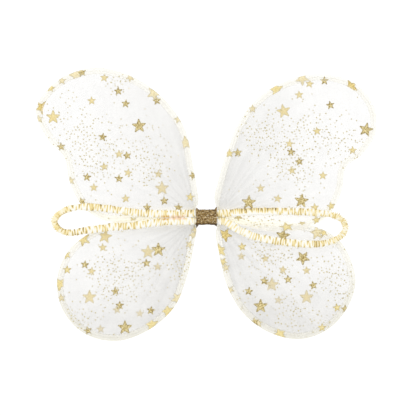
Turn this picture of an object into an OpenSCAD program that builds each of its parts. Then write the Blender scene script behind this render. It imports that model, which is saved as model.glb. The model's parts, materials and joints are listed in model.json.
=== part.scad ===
// Child's fairy wings: four wire-and-tulle lobes gathered in a glitter ribbon band, with two arm loops.
// Lying flat, strap side up. Origin: middle of the band's flat underside. +X wearer's other side, +Z up.
// The arm loops lie over the wings. Wings fold down about the band's ends, arm loops swing up.

/* [Wings] */
// Width from wing tip to wing tip in millimetres
wing_span = 460; // [420:5:500]
// Width of the folded hem that holds the wire
hem_width = 8.5; // [6:0.5:11]
// Thickness of the folded hem
hem_thick = 3; // [2.6:0.2:3]
// Diameter of the spring wire in each hem
wire_d = 1.6; // [1:0.1:1.6]
// Thickness of one tulle layer
tulle_thick = 0.4; // [0.3:0.1:0.5]
// How far the upper lobes lean down to the ground at their tips, in degrees
upper_lean = 0.8; // [0.8:0.05:0.9]

/* [Arm loops] */
// Width of the gathered sleeve
sleeve_width = 9.8; // [8:0.2:10]
// Thickness of the gathered sleeve
sleeve_thick = 6; // [4:0.5:6]
// Width of the elastic inside the sleeve
elastic_width = 6; // [4:0.5:6]
// Thickness of the elastic
elastic_thick = 1; // [0.6:0.1:1.2]

/* [Centre band] */
// Length of the ribbon band along the wing span
band_length = 27.6; // [24:0.2:28]
// Size of the band across its rolled edges
band_width = 22.8; // [22:0.2:24]
// Height of the band across its rolled edges
band_height = 14; // [14:0.2:16]
// Thickness of the wound ribbon
ribbon_thick = 1.1; // [0.8:0.1:1.2]

/* [Hidden] */

neck_x = 14.6;
neck_hem = 3.2;
curve_step = 9;
fit_k = (wing_span / 2 - neck_x) / (229.5 - neck_x);
channel_half = wire_d / 2 + 0.2;
upper_lift = hem_thick + 0.05;
sleeve_z = 2 * hem_thick + 0.7;
end_x = band_length / 2;
roll = 0.7;
inner_half = band_width / 2 - roll - ribbon_thick;
inner_low = ribbon_thick;
inner_high = band_height - roll - ribbon_thick;
tail_z = 3.6;
ivory = [0.93, 0.90, 0.80];
mist = [0.94, 0.94, 0.92];
gold = [0.55, 0.42, 0.22];
steel = [0.70, 0.71, 0.73];

// Knots of each outline, clockwise from the neck, x measured outwards from the middle.
upper_left_knots = [
    [14.6, 8.6], [14.5, 12], [11.6, 18], [13, 38], [18, 67], [31, 122], [52, 153],
    [96, 187], [150, 201], [200, 184], [229, 146], [212, 103], [192, 82],
    [184, 48], [165, 13], [143, -2.5], [90, -4], [14.6, 0.4]
];
upper_right_knots = [
    [14.6, 8.6], [14.5, 12], [11.8, 18], [17, 53], [28, 89], [46, 132], [69, 160],
    [103, 181.5], [151, 192.5], [199, 180.5], [226, 147], [226.5, 110], [208, 83],
    [188, 67.5], [182, 36], [161, 0], [140, -12.5], [110, -19], [70, -16], [40, -7.5],
    [14.6, 0.4]
];
lower_left_knots = [
    [14.6, -0.4], [50, -1.5], [90, -2.2], [125, -6], [157, -21], [187, -47],
    [201, -84], [196, -119], [166, -155.5], [123, -166.6], [76, -150.5],
    [43, -120], [26.5, -80], [15.3, -27], [13.6, -17], [14.5, -12], [14.6, -8.6]
];
lower_right_knots = [
    [14.6, -0.4], [70, -2.5], [120, -8], [155, -16], [180, -33], [195, -60],
    [200.5, -86], [190, -121], [163, -151], [128, -164], [88, -156.5], [46, -125],
    [30, -97], [17, -48], [13, -18], [14.5, -12], [14.6, -8.6]
];

// Middle line of each arm loop, from the band's upper half out and back to its lower half.
loop_left_knots = [
    [14.6, 5.2], [22, 5.2], [60, 4.5], [100, 6.8], [130, 11], [157, 13.8], [178, 12.3],
    [194, 6], [203.3, -5], [198, -15], [185, -20], [165, -18], [130, -13.6],
    [100, -11.5], [60, -6.3], [22, -5.2], [14.6, -5.2]
];
loop_right_knots = [
    [14.6, 5.2], [22, 5.2], [46, 7.2], [80, 8], [120, 7.6], [150, 5.6], [170, 2],
    [182, -4.5], [186, -14], [181, -24], [167, -32], [145, -36], [115, -34.5],
    [88, -31], [62, -25], [42, -16.5], [22, -5.4], [14.6, -5.4]
];

function fitted(knots) = [for (q = knots) [neck_x + (q[0] - neck_x) * fit_k, q[1] * fit_k]];

function slope(p, i) =
    i == 0 ? (p[1] - p[0]) / norm(p[1] - p[0]) :
    i == len(p) - 1 ? (p[i] - p[i - 1]) / norm(p[i] - p[i - 1]) :
    let (u = p[i] - p[i - 1], v = p[i + 1] - p[i], a = norm(u), b = norm(v))
    (u * b / a + v * a / b) / (a + b);

function between(p, i, t) =
    let (d = norm(p[i + 1] - p[i]))
    (2 * t * t * t - 3 * t * t + 1) * p[i] + (t * t * t - 2 * t * t + t) * d * slope(p, i)
    + (3 * t * t - 2 * t * t * t) * p[i + 1] + (t * t * t - t * t) * d * slope(p, i + 1);

// Smooth curve through the knots, in straight steps no longer than curve_step.
function smooth(p) = [
    for (i = [0 : len(p) - 2])
        let (n = ceil(norm(p[i + 1] - p[i]) / curve_step))
        for (k = [0 : n - 1]) between(p, i, k / n),
    p[len(p) - 1]
];

function right_of(a, b) = let (d = (b - a) / norm(b - a)) [d[1], -d[0]];

// Direction into a closed outline at point i, lengthened at corners so that walls keep their width.
function inward(p, i) =
    let (
        n = len(p),
        u = right_of(p[(i + n - 1) % n], p[i]),
        v = right_of(p[i], p[(i + 1) % n]),
        m = (u + v) / norm(u + v)
    )
    m / max(0.6, m * u);

function hem_at(q) = min(hem_width, neck_hem + 0.3 * max(0, norm(q - [neck_x, 0]) - 9));

// The outline moved inwards by a share of the hem's width and a fixed distance.
function inset(p, share, extra) = [
    for (i = [0 : len(p) - 1]) p[i] + inward(p, i) * (share * hem_at(p[i]) + extra)
];

function beside(p, i, d) =
    let (a = p[max(0, i - 1)], b = p[min(len(p) - 1, i + 1)])
    p[i] + right_of(a, b) * d;

// Outline of a ribbon of a given half width along an open line.
function ribbon(p, half) = [
    for (i = [0 : len(p) - 1]) beside(p, i, half),
    for (i = [len(p) - 1 : -1 : 0]) beside(p, i, -half)
];

// Rectangle with rounded corners, from its lowest to its highest edge, as [across, up] points.
function rounded(half, low, high, r) = [
    for (c = [[half - r, high - r, 0], [r - half, high - r, 90],
              [r - half, low + r, 180], [half - r, low + r, 270]])
        for (a = [0 : 15 : 90]) [c[0] + r * cos(c[2] + a), c[1] + r * sin(c[2] + a)]
];

module upper() {
    translate([0, 0, upper_lift])
        rotate([-upper_lean, 0, 0])
            children();
}

module left() {
    mirror([1, 0, 0])
        children();
}

// A block with the section [across Y, up Z] running along X.
module along_x(x0, x1, section) {
    translate([x0, 0, 0])
        rotate([90, 0, 90])
            linear_extrude(height = x1 - x0)
                polygon(section);
}

module between_outlines(outer, inner, low, high) {
    translate([0, 0, low])
        linear_extrude(height = high - low)
            difference() {
                polygon(outer);
                polygon(inner);
            }
}

module hem(knots) {
    p = smooth(fitted(knots));
    z = hem_thick / 2;
    difference() {
        between_outlines(p, inset(p, 1, 0), 0, hem_thick);
        between_outlines(inset(p, 0.5, -channel_half), inset(p, 0.5, channel_half),
            z - channel_half, z + channel_half);
    }
}

module tulle(knots, low) {
    p = smooth(fitted(knots));
    translate([0, 0, low])
        linear_extrude(height = tulle_thick)
            polygon(inset(p, 1, 0));
}

module front_tulle(knots) {
    tulle(knots, hem_thick - 0.7 - tulle_thick);
}

module back_tulle(knots) {
    tulle(knots, 0.7);
}

// Round wire swept along the middle of the hem, as a closed loop.
module wire(knots) {
    p = smooth(fitted(knots));
    q = inset(p, 0.5, 0);
    n = len(q);
    sides = 8;
    rings = [
        for (i = [0 : n - 1])
            for (s = [0 : sides - 1])
                let (
                    a = 360 * s / sides,
                    m = inward(q, i),
                    w = m / norm(m) * cos(a) * wire_d / 2
                )
                [q[i][0] + w[0], q[i][1] + w[1], hem_thick / 2 + sin(a) * wire_d / 2]
    ];
    walls = [
        for (i = [0 : n - 1])
            for (s = [0 : sides - 1])
                [i * sides + s, i * sides + (s + 1) % sides,
                 ((i + 1) % n) * sides + (s + 1) % sides, ((i + 1) % n) * sides + s]
    ];
    polyhedron(points = rings, faces = walls, convexity = 6);
}

module sleeve(knots) {
    p = smooth(fitted(knots));
    mid = sleeve_z + sleeve_thick / 2;
    slack = 0.2;
    difference() {
        translate([0, 0, sleeve_z])
            linear_extrude(height = sleeve_thick)
                polygon(ribbon(p, sleeve_width / 2));
        translate([0, 0, mid - elastic_thick / 2 - slack])
            linear_extrude(height = elastic_thick + 2 * slack)
                polygon(ribbon(p, elastic_width / 2 + slack));
    }
}

module elastic(knots) {
    p = smooth(fitted(knots));
    translate([0, 0, sleeve_z + (sleeve_thick - elastic_thick) / 2])
        linear_extrude(height = elastic_thick)
            polygon(ribbon(p, elastic_width / 2));
}

// The ribbon wound round the middle, flat below, its edges rolled thicker.
module band() {
    roll_l = 2.4;
    difference() {
        union() {
            along_x(-end_x, end_x, rounded(band_width / 2 - roll, 0, band_height - roll, 4.2));
            for (x = [-end_x, end_x - roll_l])
                along_x(x, x + roll_l, rounded(band_width / 2, 0, band_height, 4.8));
        }
        along_x(-end_x - 1, end_x + 1, rounded(inner_half, inner_low, inner_high, 3.2));
    }
}

// Ends of a side's four wire legs, side by side under the thread.
module tails(z) {
    for (y = [-3.3, -1.1, 1.1, 3.3])
        translate([-5, y, z])
            rotate([0, 90, 0])
                cylinder(h = end_x - 0.4 + 5, d = wire_d, $fn = 12);
}

module binding_space() {
    along_x(-4.4, 4.4, rounded(5.6, 1.6, 7.6, 1.6));
}

module binding() {
    difference() {
        union() {
            along_x(-4, 4, rounded(5, 2.1, 7.1, 1.4));
            for (x = [-3.6 : 1.8 : 3.6])
                along_x(x - 0.4, x + 0.4, rounded(5.4, 1.7, 7.5, 1.6));
        }
        along_x(-5, 5, rounded(4.4, 2.6, 6.6, 1));
    }
}

module elastic_end(knots) {
    z = sleeve_z + (sleeve_thick - elastic_thick) / 2;
    for (y = [knots[0][1], knots[len(knots) - 1][1]])
        translate([1, y * fit_k - elastic_width / 2, z])
            cube([end_x - 1.4, elastic_width, elastic_thick]);
}

// Tulle and sleeve ends gathered tight inside the band, round everything else.
module gathered() {
    gap = 0.1;
    difference() {
        along_x(-end_x + 0.4, end_x - 0.4,
            rounded(inner_half - gap, inner_low + gap, inner_high - gap, 3));
        binding_space();
        for (y = [-3.3, -1.1, 1.1, 3.3])
            for (z = [tail_z, tail_z + 2])
                translate([-end_x, y, z])
                    rotate([0, 90, 0])
                        cylinder(h = 2 * end_x, d = wire_d + 2 * gap, $fn = 12);
        for (k = [loop_left_knots, loop_right_knots])
            for (y = [k[0][1], k[len(k) - 1][1]])
                translate([k == loop_left_knots ? -end_x : 0.9,
                           y * fit_k - elastic_width / 2 - gap,
                           sleeve_z + (sleeve_thick - elastic_thick) / 2 - gap])
                    cube([end_x - 0.9, elastic_width + 2 * gap, elastic_thick + 2 * gap]);
    }
}

module wire_upper_left() { color(steel) upper() left() wire(upper_left_knots); }
module wire_upper_right() { color(steel) upper() wire(upper_right_knots); }
module wire_lower_left() { color(steel) left() wire(lower_left_knots); }
module wire_lower_right() { color(steel) wire(lower_right_knots); }
module hem_upper_left() { color(ivory) upper() left() hem(upper_left_knots); }
module hem_upper_right() { color(ivory) upper() hem(upper_right_knots); }
module hem_lower_left() { color(ivory) left() hem(lower_left_knots); }
module hem_lower_right() { color(ivory) hem(lower_right_knots); }
module front_tulle_upper_left() { color(mist) upper() left() front_tulle(upper_left_knots); }
module front_tulle_upper_right() { color(mist) upper() front_tulle(upper_right_knots); }
module front_tulle_lower_left() { color(mist) left() front_tulle(lower_left_knots); }
module front_tulle_lower_right() { color(mist) front_tulle(lower_right_knots); }
module back_tulle_upper_left() { color(mist) upper() left() back_tulle(upper_left_knots); }
module back_tulle_upper_right() { color(mist) upper() back_tulle(upper_right_knots); }
module back_tulle_lower_left() { color(mist) left() back_tulle(lower_left_knots); }
module back_tulle_lower_right() { color(mist) back_tulle(lower_right_knots); }
module sleeve_left() { color(ivory) left() sleeve(loop_left_knots); }
module sleeve_right() { color(ivory) sleeve(loop_right_knots); }
module elastic_left() { color(mist) left() elastic(loop_left_knots); }
module elastic_right() { color(mist) elastic(loop_right_knots); }
module glitter_band() { color(gold) band(); }
module gathered_middle() { color(mist) gathered(); }
module binding_thread() { color(ivory) binding(); }
module wire_ends_left() { color(steel) left() tails(tail_z); }
module wire_ends_right() { color(steel) tails(tail_z + 2); }
module elastic_ends_left() { color(mist) left() elastic_end(loop_left_knots); }
module elastic_ends_right() { color(mist) elastic_end(loop_right_knots); }

wire_upper_left();
wire_upper_right();
wire_lower_left();
wire_lower_right();
hem_upper_left();
hem_upper_right();
hem_lower_left();
hem_lower_right();
front_tulle_upper_left();
front_tulle_upper_right();
front_tulle_lower_left();
front_tulle_lower_right();
back_tulle_upper_left();
back_tulle_upper_right();
back_tulle_lower_left();
back_tulle_lower_right();
sleeve_left();
sleeve_right();
elastic_left();
elastic_right();
glitter_band();
gathered_middle();
binding_thread();
wire_ends_left();
wire_ends_right();
elastic_ends_left();
elastic_ends_right();
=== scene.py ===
import json
import math

import bpy
import numpy as np
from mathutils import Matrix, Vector
from mathutils.bvhtree import BVHTree
from mathutils.geometry import delaunay_2d_cdt


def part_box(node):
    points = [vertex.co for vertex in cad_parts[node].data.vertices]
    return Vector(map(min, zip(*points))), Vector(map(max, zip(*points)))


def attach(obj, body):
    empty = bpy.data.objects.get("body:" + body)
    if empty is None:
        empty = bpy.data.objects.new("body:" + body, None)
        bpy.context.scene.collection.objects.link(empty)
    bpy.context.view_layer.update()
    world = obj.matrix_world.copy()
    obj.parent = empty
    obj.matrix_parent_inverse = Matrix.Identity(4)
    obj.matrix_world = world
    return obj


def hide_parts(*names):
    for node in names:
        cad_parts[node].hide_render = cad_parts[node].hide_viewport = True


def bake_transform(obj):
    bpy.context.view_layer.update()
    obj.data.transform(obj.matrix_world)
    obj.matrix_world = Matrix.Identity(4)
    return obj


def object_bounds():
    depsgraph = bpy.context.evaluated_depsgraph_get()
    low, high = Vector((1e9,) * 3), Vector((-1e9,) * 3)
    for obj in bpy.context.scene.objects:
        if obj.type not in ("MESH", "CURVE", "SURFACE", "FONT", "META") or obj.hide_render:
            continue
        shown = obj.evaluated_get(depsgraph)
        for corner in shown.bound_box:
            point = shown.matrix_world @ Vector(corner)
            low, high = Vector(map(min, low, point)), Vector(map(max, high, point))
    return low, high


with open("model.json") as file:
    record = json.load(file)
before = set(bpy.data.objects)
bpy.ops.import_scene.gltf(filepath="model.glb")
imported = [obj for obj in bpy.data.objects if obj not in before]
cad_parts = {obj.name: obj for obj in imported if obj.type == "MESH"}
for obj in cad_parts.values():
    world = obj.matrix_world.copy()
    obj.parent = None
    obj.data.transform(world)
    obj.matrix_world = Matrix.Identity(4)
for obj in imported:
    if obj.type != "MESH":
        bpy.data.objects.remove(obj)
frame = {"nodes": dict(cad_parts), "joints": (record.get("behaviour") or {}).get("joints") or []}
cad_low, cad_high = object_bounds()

MM = 0.001
TURN = 2 * np.pi
WHITE, BLACK = (1, 1, 1), (0, 0, 0)
NODES = frame["nodes"]
JOINTS = {j["name"]: j for j in frame["joints"]}
SIDES = {-1: "left", 1: "right"}
LAYERS = {1: "front", -1: "back"}

# Distances from the middle at which soft pieces would start to bend at the band, and at which the
# neck gathers and the arm loops would have joined the wing's or loop's own motion; nothing
# here bends them.
BEND_START, NECK_BENT, LOOP_BENT = 13 * MM, 20 * MM, 25 * MM
# The place, in X and up or down in Y, that a lobe's creases run out from.
NECK = (14.6 * MM, 4.5 * MM)

# The lobes' prints, in millimetres in the row frame: (x, y, turn in degrees),
# and where a print runs over a fold, the share of its height that shows.
# A front print lies on the strap side; a back one is seen through both layers of net.
# Clusters of dots are (x, y, radius, count).
BIG_R, SMALL_R = 9.9 * MM, 6.0 * MM
PRINTS = {
    "upper_left": {
        "front_big": [(-91, 123, 4)],
        "cut_big": [(-222, 148, 40)],
        "cut_small": [(-18, 56, 20)],
        "front_small": [(-119, 170, 4), (-109, 153, -6), (-67, 157, 8), (-140, 108, -8), (-196, 95, 6),
                        (-107, 83, 10), (-161, 54, -5), (-118, 52, 0), (-57, 22, 5), (-80, 13, 2),
                        (-38, 13, -4), (-168, 195, 12), (-168, 21, 20)],
        "soft_small": [(-22, 27, -6), (-99, -5, 30), (-210, 174, -9)],
        "back_big": [(-207, 135, 0), (-60, 39, 2)],
        "back_small": [(-155, 157, 3), (-138, 188, -7), (-118, 85, 2), (-138, 68, 8), (-152, 40, 0),
                       (-106, 60, -10), (-109, 25, 6), (-65, 58, -4)],
        "pale_cut_big": [(-176, 192, 20), (-28, 100, 10)],
        "pale_big": [(-71, 167, 45)],
        "pale_small": [(-195, 184, 0), (-103, 188, 30), (-38, 132, 12), (-183, 49, 10),
                       (-226, 132, 10)],
        "dots": [(-166, 102, 44, 150), (-92, 100, 36, 60), (-122, 182, 18, 34), (-74, 68, 30, 60),
                 (-190, 140, 36, 40), (-150, 70, 26, 40), (-110, 60, 90, 60)],
    },
    "lower_left": {
        "front_big": [(-110, -149, 0), (-65, -44, 0)],
        "soft_big": [(-166, -30, 24)],
        "soft_cut_big": [(-198, -90, 30), (-74, -145, 10), (-52, -127, 15)],
        "cut_small": [(-136, -10, 0)],
        "front_small": [(-164, -64, -5), (-123, -100, 6), (-117, -119, 0), (-75, -126, -8),
                        (-160, -153, 12), (-81, -62, 4)],
        "soft_small": [(-189, -51, 20), (-188, -71, 0)],
        "back_big": [(-158, -108, 0), (-79, -47, 0), (-137, -26, -10)],
        "back_small": [(-140, -41, 4), (-155, -73, -6), (-121, -125, 8), (-90, -130, -4),
                       (-143, -151, 5), (-66, -67, 0)],
        "pale_cut_big": [(-39, -110, 36)],
        "pale_small": [(-196, -109, 10), (-15, -17, 20), (-18, -24, 22), (-23, -37, 50)],
        "dots": [(-117, -76, 38, 130), (-172, -135, 22, 50), (-34, -66, 20, 56), (-22, -42, 12, 18),
                 (-140, -90, 44, 50), (-90, -90, 70, 50)],
    },
    "upper_right": {
        "front_big": [(215, 118, -12), (128, 22, -6), (57, 20, -3)],
        "cut_big": [(195, 176, 24)],
        "front_small": [(159, 184, 0), (167, 151, 10), (114, 88, -6), (125, 75, 8), (42, 87, 4)],
        "soft_big": [(108, -13, 14, 0.62)],
        "soft_small": [(43, 0, 36, 0.85), (31, 86, 0), (148, -4, 8), (129, -8, 30, 0.42),
                       (168, 15, 12)],
        "soft_cut_big": [(94, 172, 10)],
        "back_big": [(104, 143, 12)],
        "back_small": [(125, 165, 4), (139, 180, -8), (149, 116, 6), (197, 90, 0), (112, 99, -6),
                       (115, 63, 10), (157, 56, -4), (73, 39, 3), (96, 25, -10), (146, 13, 5)],
        "pale_big": [(129, 187, 40)],
        "pale_small": [(62, 146, 0), (215, 80, 20)],
        "dots": [(70, 112, 30, 90), (134, 124, 26, 56), (168, 108, 40, 90), (116, 72, 28, 100),
                 (100, 100, 34, 40), (200, 95, 22, 24), (110, 80, 90, 60), (75, -8, 26, 50),
                 (55, -6, 16, 24)],
    },
    "lower_right": {
        "front_big": [(130, -55, 36), (73, -120, 0), (103, -25, -8)],
        "soft_cut_big": [(18, -45, 12), (99, -158, 20)],
        "soft_cut_small": [(22, -60, 40)],
        "net_big": [(25, -24, 46)],
        "front_small": [(110, -84, 4), (57, -100, -8), (144, -92, 12), (187, -124, 0), (65, -141, 9),
                        (78, -86, -5)],
        "pale_big": [(149, -21, 8)],
        "soft_small": [(48, -40, 5), (156, -149, 0), (176, -122, 10), (158, -21, 20)],
        "back_big": [(88, -91, -2), (135, -108, 0)],
        "back_small": [(47, -53, 0), (79, -56, 10), (103, -71, -6), (135, -72, 4), (97, -112, -10)],
        "pale_small": [(26, -68, 10), (32, -98, 40), (70, -143, 0)],
        "dots": [(82, -48, 32, 120), (170, -74, 32, 96), (115, -134, 28, 76), (182, -104, 14, 18),
                 (45, -115, 16, 16), (105, -85, 70, 60), (155, -140, 16, 24)],
    },
}


# ---------- lines and outlines ----------

def norm(vectors):
    """The length of each vector."""
    return np.linalg.norm(vectors, axis=-1)


def lengths(line):
    """Distances between neighbouring points."""
    return norm(np.diff(line, axis=0))


def distances(line):
    """Distance along a line to each of its points."""
    return np.concatenate([[0], np.cumsum(lengths(line))])


def joined(points):
    """A closed outline with its first point repeated at its end."""
    return np.vstack([points, points[:1]])


def unit(vectors):
    """Each vector at length 1."""
    return vectors / norm(vectors)[..., None]


def circle(count):
    """Cosines and sines of evenly spaced angles, once round."""
    turn = np.linspace(0, TURN, count, endpoint=False)
    return np.cos(turn), np.sin(turn)


def boxy(wave, power):
    """A sine or cosine raised to a power with its sign kept, which squares off a section."""
    return np.sign(wave) * np.abs(wave) ** power


def bell(x, width, power=2):
    """1 where x is 0, falling off to both sides; a higher power gives it a flatter top."""
    return np.exp(-(x / width) ** power)


def rising(x, start=0, length=1):
    """0 up to start, then rising evenly to 1 over a length."""
    return np.clip((x - start) / length, 0, 1)


def node_vertices(name):
    return np.array([v.co for v in NODES[name].data.vertices], float)


def top_outline(name):
    """The longest outline of a node's upward faces, as points in order in plan."""
    mesh = NODES[name].data
    spots, where = {}, []
    for v in mesh.vertices:
        spot = tuple(round(c / MM, 2) for c in v.co)
        where.append(spots.setdefault(spot, len(spots)))
    plan = np.array(list(spots), float)[:, :2] * MM
    edges = {}
    for p in mesh.polygons:
        if p.normal.z > 0.99:
            ids = [where[i] for i in p.vertices]
            edges.update(dict.fromkeys(zip(ids, ids[1:] + ids[:1])))
    following = {a: b for a, b in edges if (b, a) not in edges}
    loops = []
    while following:
        start = next(iter(following))
        at = following.pop(start)
        loop = [start]
        while at != start and at in following:
            loop.append(at)
            at = following.pop(at)
        loops.append(plan[loop])
    return max(loops, key=lambda loop: lengths(joined(loop)).sum())


def rounded_line(points, step, closed):
    """The smooth curve through points, resampled evenly about step apart."""
    n = len(points)
    fine = []
    for i in range(n if closed else n - 1):
        near = [(i + k) % n if closed else min(max(i + k, 0), n - 1) for k in (-1, 0, 1, 2)]
        a, b, c, d = points[near]
        for t in np.linspace(0, 1, 8, endpoint=False):
            fine.append(0.5 * (2 * b + (c - a) * t + (2 * a - 5 * b + 4 * c - d) * t * t
                               + (3 * b - 3 * c + d - a) * t ** 3))
    fine.append(points[0 if closed else -1])
    fine = np.array(fine)
    along = distances(fine)
    count = max(8, int(round(along[-1] / step)))
    at = np.linspace(0, along[-1], count, endpoint=not closed)
    return np.stack([np.interp(at, along, way) for way in fine.T], 1)


def area_of(loop):
    """The area in an outline, negative where it runs clockwise."""
    x, y = loop.T
    return 0.5 * float(np.sum(x * np.roll(y, -1) - y * np.roll(x, -1)))


def inside(loop, points):
    """Which points lie inside a closed outline."""
    x, y = points[:, 0], points[:, 1]
    result = np.zeros(len(points), bool)
    for (x0, y0), (x1, y1) in zip(loop, np.roll(loop, -1, 0)):
        if y1 != y0:
            result ^= ((y0 > y) != (y1 > y)) & (x < (x1 - x0) * (y - y0) / (y1 - y0) + x0)
    return result


def nearest(loop, points):
    """Distance from each point to an outline, and the index of the nearest of its points."""
    best = np.full(len(points), 1e9)
    which = np.zeros(len(points), int)
    for i, (a, b) in enumerate(zip(loop, np.roll(loop, -1, 0))):
        d = b - a
        t = rising((points - a) @ d, 0, d @ d)
        gap = norm(points - a - t[:, None] * d)
        closer = gap < best
        best[closer] = gap[closer]
        which[closer] = i
    return best, which


def depth_in(loop, points):
    """Distance in from an outline, negative outside, and the nearest outline point."""
    gap, which = nearest(loop, points)
    gap[~inside(loop, points)] *= -1
    return gap, which


def side_of(line, closed):
    """Unit vectors to the right of a level line at each of its points."""
    if closed:
        d = np.roll(line, -1, 0) - np.roll(line, 1, 0)
    else:
        d = np.gradient(line, axis=0)
    d = unit(d)
    return np.stack([d[:, 1], -d[:, 0]], 1)


def beside(line, out, reach):
    """Plan positions at some distances to one side of a line, ring after ring."""
    reach = np.broadcast_to(reach, (len(line), np.shape(reach)[-1]))
    return (line[:, None] + out[:, None] * reach[..., None]).reshape(-1, 2)


class Ripple:
    """A smooth random height, about 1 either way, made of seeded sine waves."""

    def __init__(self, seed, shortest, longest, terms=9, ways=1):
        rng = np.random.default_rng(seed)
        self.rate = TURN / rng.uniform(shortest, longest, terms)
        turn = rng.uniform(0, TURN, terms)
        self.way = np.stack([np.cos(turn), np.sin(turn)], 1) if ways == 2 else np.ones((terms, 1))
        self.phase = rng.uniform(0, TURN, terms)
        self.size = rng.uniform(0.5, 1, terms)
        self.size /= np.sqrt((self.size ** 2).sum() / 2)

    def __call__(self, *x):
        at = np.stack(np.broadcast_arrays(*x), -1)
        return (np.sin((at @ self.way.T) * self.rate + self.phase) * self.size).sum(-1)


# ---------- meshes and pieces ----------

def add_object(name, data):
    obj = bpy.data.objects.new(name, data)
    bpy.context.scene.collection.objects.link(obj)
    return obj


def mesh_object(name, points, faces, materials, choice=None, smooth=True, **attributes):
    """A mesh with its materials, each face's choice of them, and attributes on its points."""
    mesh = bpy.data.meshes.new(name)
    mesh.from_pydata([tuple(p) for p in points], [], [tuple(int(i) for i in f) for f in faces])
    for m in materials:
        mesh.materials.append(m)
    if choice is not None:
        mesh.polygons.foreach_set("material_index", np.array(choice, np.int32))
    for key, values in attributes.items():
        layer = mesh.attributes.new(key, "FLOAT", "POINT")
        layer.data.foreach_set("value", np.array(values, np.float32).ravel())
    mesh.polygons.foreach_set("use_smooth", [smooth] * len(mesh.polygons))
    mesh.validate()
    mesh.update()
    return add_object(name, mesh)


def enter(obj, body=None, node=None):
    """Where given, attaches a piece to the body that carries it and hides the node it replaces."""
    if body:
        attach(obj, body)
    if node:
        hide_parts(node)


def grid_faces(rings, around, closed_rings, closed_around=True):
    """Quads of a skin whose points run ring after ring."""
    faces = []
    for i in range(rings if closed_rings else rings - 1):
        j = (i + 1) % rings
        for k in range(around if closed_around else around - 1):
            m = (k + 1) % around
            faces.append((i * around + k, i * around + m, j * around + m, j * around + k))
    return faces


def tube_faces(rings, around):
    """Faces of a tube of rings, closed at both ends."""
    last = (rings - 1) * around
    caps = [tuple(range(around))[::-1], tuple(last + k for k in range(around))]
    return grid_faces(rings, around, False) + caps


def shell(points, faces, thickness_down):
    """A closed thin shell: the faces, the same faces below them, and walls round the rim."""
    n = len(points)
    low = points.copy()
    low[:, 2] -= thickness_down
    edges = dict.fromkeys(edge for f in faces for edge in zip(f, f[1:] + f[:1]))
    walls = [(b, a, a + n, b + n) for a, b in edges if (b, a) not in edges]
    under = [tuple(i + n for i in f[::-1]) for f in faces]
    return np.vstack([points, low]), list(faces) + under + walls


# ---------- materials ----------

NET_CELL = 1.15 * MM
# Painted glow that stands for light coming through the hem from behind: on its flat middle, and,
# stronger, at its rounded edges, where it lightens their shade.
HEM_PAINTED_GLOW = (0.03, 0.14)


class Look:
    """A material whose node graph is put together by short calls."""

    def __init__(self, name):
        self.material = bpy.data.materials.new(name)
        self.material.use_nodes = True
        self.tree = self.material.node_tree
        self.place = self.node("TexCoord", "Object")

    def feed(self, socket, value):
        """Links another node's output to a socket, or sets the socket to a constant."""
        if hasattr(value, "links"):
            self.tree.links.new(value, socket)
        elif socket.type == "RGBA":
            socket.default_value = (*value, 1)
        else:
            socket.default_value = value

    def node(self, kind, output, inputs=None, **settings):
        """Adds a shader node and returns one of its outputs."""
        node = self.tree.nodes.new("ShaderNode" + kind)
        for key, value in settings.items():
            setattr(node, key, value)
        for key, value in (inputs or {}).items():
            self.feed(node.inputs[key], value)
        return node.outputs[output]

    def surface(self, inputs):
        """Sets the shader's inputs and returns the material."""
        for key, value in inputs.items():
            self.feed(self.tree.nodes["Principled BSDF"].inputs[key], value)
        return self.material

    def attribute(self, name):
        return self.node("Attribute", "Fac", attribute_name=name)

    def noise(self, scale, detail):
        return self.node("TexNoise", "Fac", {
            "Vector": self.place, "Scale": scale, "Detail": detail})

    def ramp(self, value, *stops):
        colour = self.node("ValToRGB", "Color", {"Fac": value})
        elements = colour.node.color_ramp.elements
        while len(elements) < len(stops):
            elements.new(0.5)
        for element, (at, shade) in zip(elements, stops):
            element.position = at
            element.color = (*shade, 1)
        return colour

    def between(self, value, low, high, start=0.0, end=1.0):
        """The value's way from start to end, carried over to low to high."""
        return self.node("MapRange", "Result", {
            "Value": value, "From Min": start, "From Max": end, "To Min": low, "To Max": high})

    def mixed(self, share, a, b, way="MIX"):
        return self.node("Mix", "Result", {"Factor": share, "A": a, "B": b},
                         data_type="RGBA", blend_type=way)

    def maths(self, kind, a, b):
        return self.node("Math", "Value", {0: a, 1: b}, operation=kind)

    def bump(self, height, distance, strength):
        return self.node("Bump", "Normal", {
            "Height": height, "Distance": distance, "Strength": strength})

    def net_threads(self):
        """1 on the threads of a six-sided net and 0 in its holes, in the object's own plane."""
        waves = []
        for turn in np.radians((0, 60, 120)):
            way = (TURN / NET_CELL * math.cos(turn), TURN / NET_CELL * math.sin(turn), 0)
            along = self.node("VectorMath", "Value", {0: self.place, 1: way},
                              operation="DOT_PRODUCT")
            waves.append(self.node("Math", "Value", {0: along}, operation="COSINE"))
        total = self.maths("ADD", self.maths("ADD", waves[0], waves[1]), waves[2])
        return self.between(total, 1.0, 0.0, -1.2, 1.0)


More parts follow.
